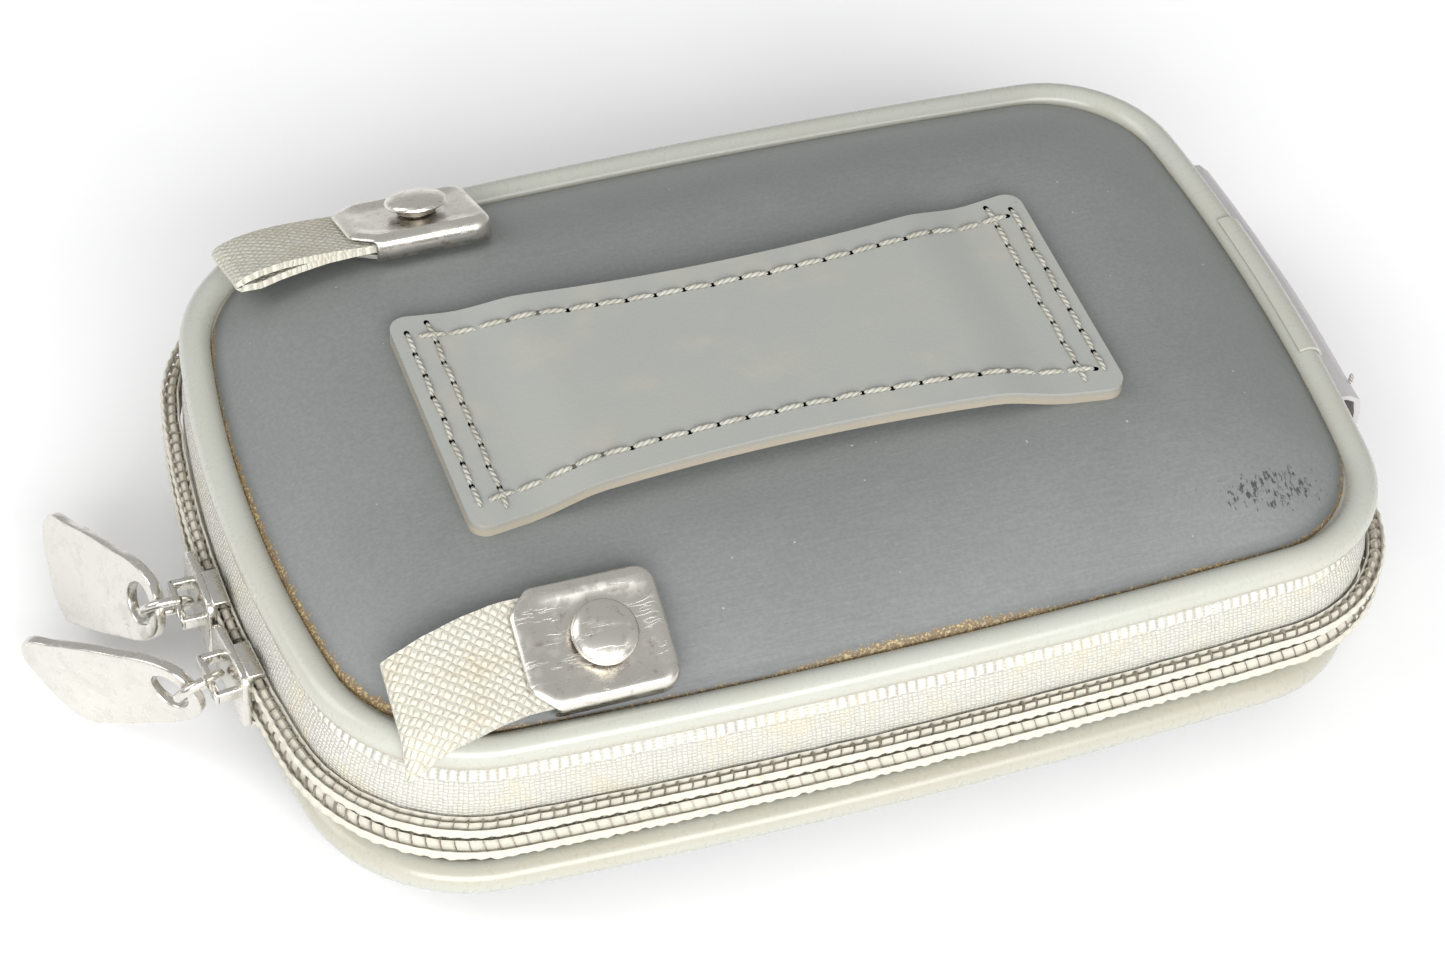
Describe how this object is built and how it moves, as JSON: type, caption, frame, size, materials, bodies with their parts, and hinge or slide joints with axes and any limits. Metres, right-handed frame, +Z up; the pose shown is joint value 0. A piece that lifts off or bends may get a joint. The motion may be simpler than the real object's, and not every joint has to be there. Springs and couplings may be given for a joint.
{
  "type": "zip-round camera pouch",
  "caption": "Semi-rigid clamshell pouch for a compact camera, zipped round three sides, with a belt loop and strap tabs",
  "frame": {"origin": "centre of the flat that the pouch rests on", "axes": "+X to the hinge end, -Y to the side with the near strap tab, +Z up through the belt loop"},
  "size_m": [0.1524, 0.09, 0.0397],
  "materials": {
    "coated_skin": "grey coated moulded skin, satin",
    "foam": "moulded foam",
    "lining": "knitted lining",
    "piping_vinyl": "satin vinyl",
    "binding": "woven binding",
    "zip_tape": "woven cotton-like tape",
    "zip_coil": "nylon coil",
    "hinge_vinyl": "grey vinyl",
    "loop_backing_leather": "raw leather",
    "loop_leather": "smooth grey leather",
    "loop_thread": "twisted thread",
    "nickel": "bright nickel plate",
    "webbing": "coarse woven webbing"
  },
  "bodies": {
    "base": {"lower_skin": "coated_skin", "lower_foam": "foam", "lower_lining": "lining", "lower_piping": "piping_vinyl", "lower_piping_sleeve": "piping_vinyl", "lower_seam_binding": "binding", "lower_zip_tape": "zip_tape", "lower_zip_coil": "zip_coil", "lower_hinge_strip": "hinge_vinyl", "lower_hinge_lining": "lining"},
    "lid": {"upper_skin": "coated_skin", "upper_foam": "foam", "upper_lining": "lining", "upper_piping": "piping_vinyl", "upper_piping_sleeve": "piping_vinyl", "upper_seam_binding": "binding", "upper_zip_tape": "zip_tape", "upper_zip_coil": "zip_coil", "upper_hinge_strip": "hinge_vinyl", "upper_hinge_lining": "lining", "belt_loop_backing": "loop_backing_leather", "belt_loop_face": "loop_leather", "belt_loop_stitches": "loop_thread", "near_clip_base": "nickel", "near_clip_cover": "nickel", "near_webbing_tab": "webbing", "near_rivet": "nickel", "near_rivet_washer": "nickel", "far_clip_base": "nickel", "far_clip_cover": "nickel", "far_webbing_tab": "webbing", "far_rivet": "nickel", "far_rivet_washer": "nickel"},
    "near_slider": {"near_slider": "nickel"},
    "near_link": {"near_slider_link": "nickel"},
    "near_pull": {"near_pull_tab": "nickel"},
    "far_slider": {"far_slider": "nickel"},
    "far_link": {"far_slider_link": "nickel"},
    "far_pull": {"far_pull_tab": "nickel"}
  },
  "joints": [
    {"name": "lid_hinge", "type": "hinge", "parent": "base", "child": "lid", "pos_m": [0.066, 0, 0.018], "axis": [0, 1, 0], "range_deg": [0, 165]},
    {"name": "near_slider_travel", "type": "hinge", "parent": "base", "child": "near_slider", "pos_m": [0.0823, 0, 0.018], "axis": [0, 0, 1], "range_deg": [0, 3.3]},
    {"name": "near_link_swing", "type": "hinge", "parent": "near_slider", "child": "near_link", "pos_m": [-0.06889, -0.01306, 0.018], "axis": [-0.0861, 0.9963, 0], "range_deg": [0, 20]},
    {"name": "near_pull_swing", "type": "hinge", "parent": "near_link", "child": "near_pull", "pos_m": [-0.071, -0.01324, 0.01711], "axis": [-0.3924, 0.3119, 0.8653], "range_deg": [0, 80]},
    {"name": "far_slider_travel", "type": "hinge", "parent": "base", "child": "far_slider", "pos_m": [0.0823, 0, 0.018], "axis": [0, 0, -1], "range_deg": [0, 9]},
    {"name": "far_link_swing", "type": "hinge", "parent": "far_slider", "child": "far_link", "pos_m": [-0.06944, -0.00166, 0.018], "axis": [-0.0109, 0.9999, 0], "range_deg": [0, 20]},
    {"name": "far_pull_swing", "type": "hinge", "parent": "far_link", "child": "far_pull", "pos_m": [-0.07173, -0.00168, 0.01818], "axis": [0.0602, 0.5017, 0.8629], "range_deg": [-15, 15]}
  ]
}
